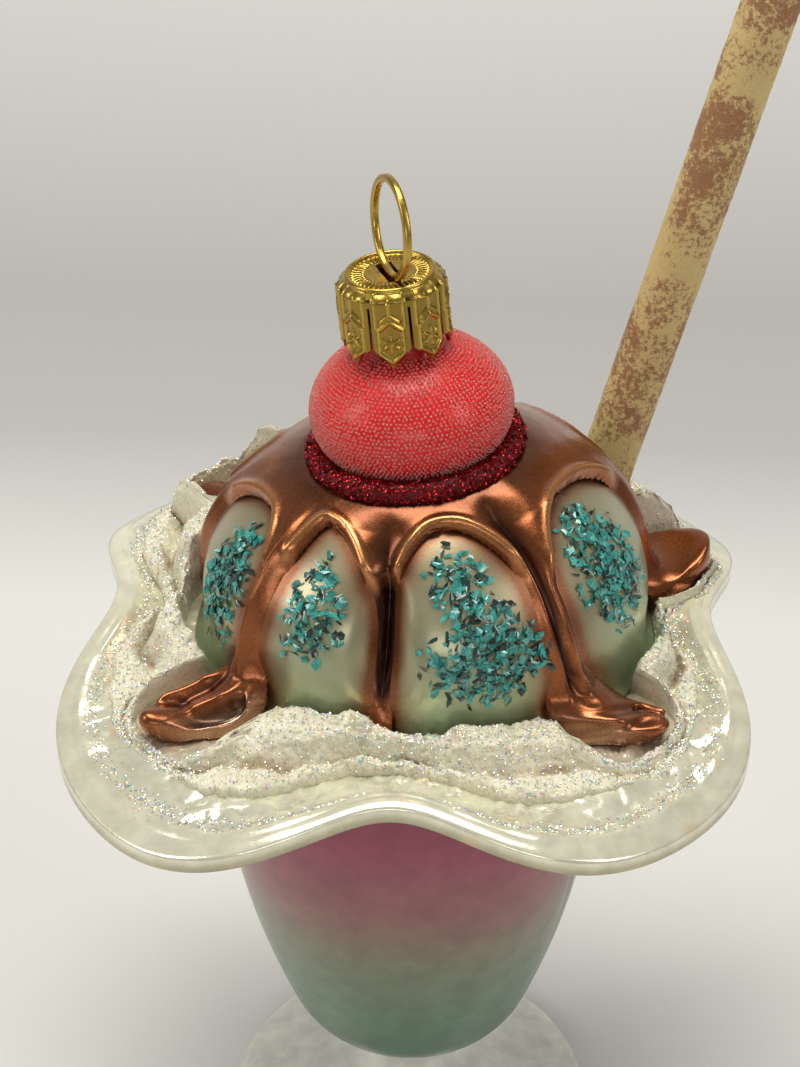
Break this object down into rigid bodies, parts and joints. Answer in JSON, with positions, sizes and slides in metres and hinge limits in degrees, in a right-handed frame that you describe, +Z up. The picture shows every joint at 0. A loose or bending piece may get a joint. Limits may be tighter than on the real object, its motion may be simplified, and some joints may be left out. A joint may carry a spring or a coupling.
{
  "type": "glass sundae ornament",
  "caption": "Blown-glass hanging ornament of an ice cream sundae: footed wavy dish, syrup-covered dome, whipped cream, cherry, gold cap with ring, and a straw.",
  "frame": {"origin": "middle of the foot's flat underside", "axes": "+Z up out of the dish, -Y towards the front, +X to the right, where the straw leans"},
  "size_m": [0.0919, 0.0928, 0.1724],
  "materials": {
    "silvered_glass": "silvered blown glass, pearly champagne lip, cup fading from pink to sage green, frosted white foot",
    "pearl_glass": "satin greenish pearl lacquer on blown glass, with teal and dark flakes",
    "copper_lacquer": "satin metallic copper-brown lacquer on blown glass",
    "glitter_cream": "rough off-white paste with fine iridescent glitter",
    "red_beads": "red lacquered glass under a layer of clear glass microbeads",
    "red_glitter": "dark red coarse glitter",
    "gold_metal": "stamped gold-coloured sheet metal and wire",
    "wafer_tube": "matte tan tube with sponged red-brown speckles"
  },
  "bodies": {
    "root": {"glass_dish": "silvered_glass", "ice_cream": "pearl_glass", "syrup": "copper_lacquer", "whipped_cream": "glitter_cream", "cherry": "red_beads", "glitter_collar": "red_glitter", "ornament_cap": "gold_metal", "hanging_ring": "gold_metal", "wafer_straw": "wafer_tube"}
  },
  "joints": []
}
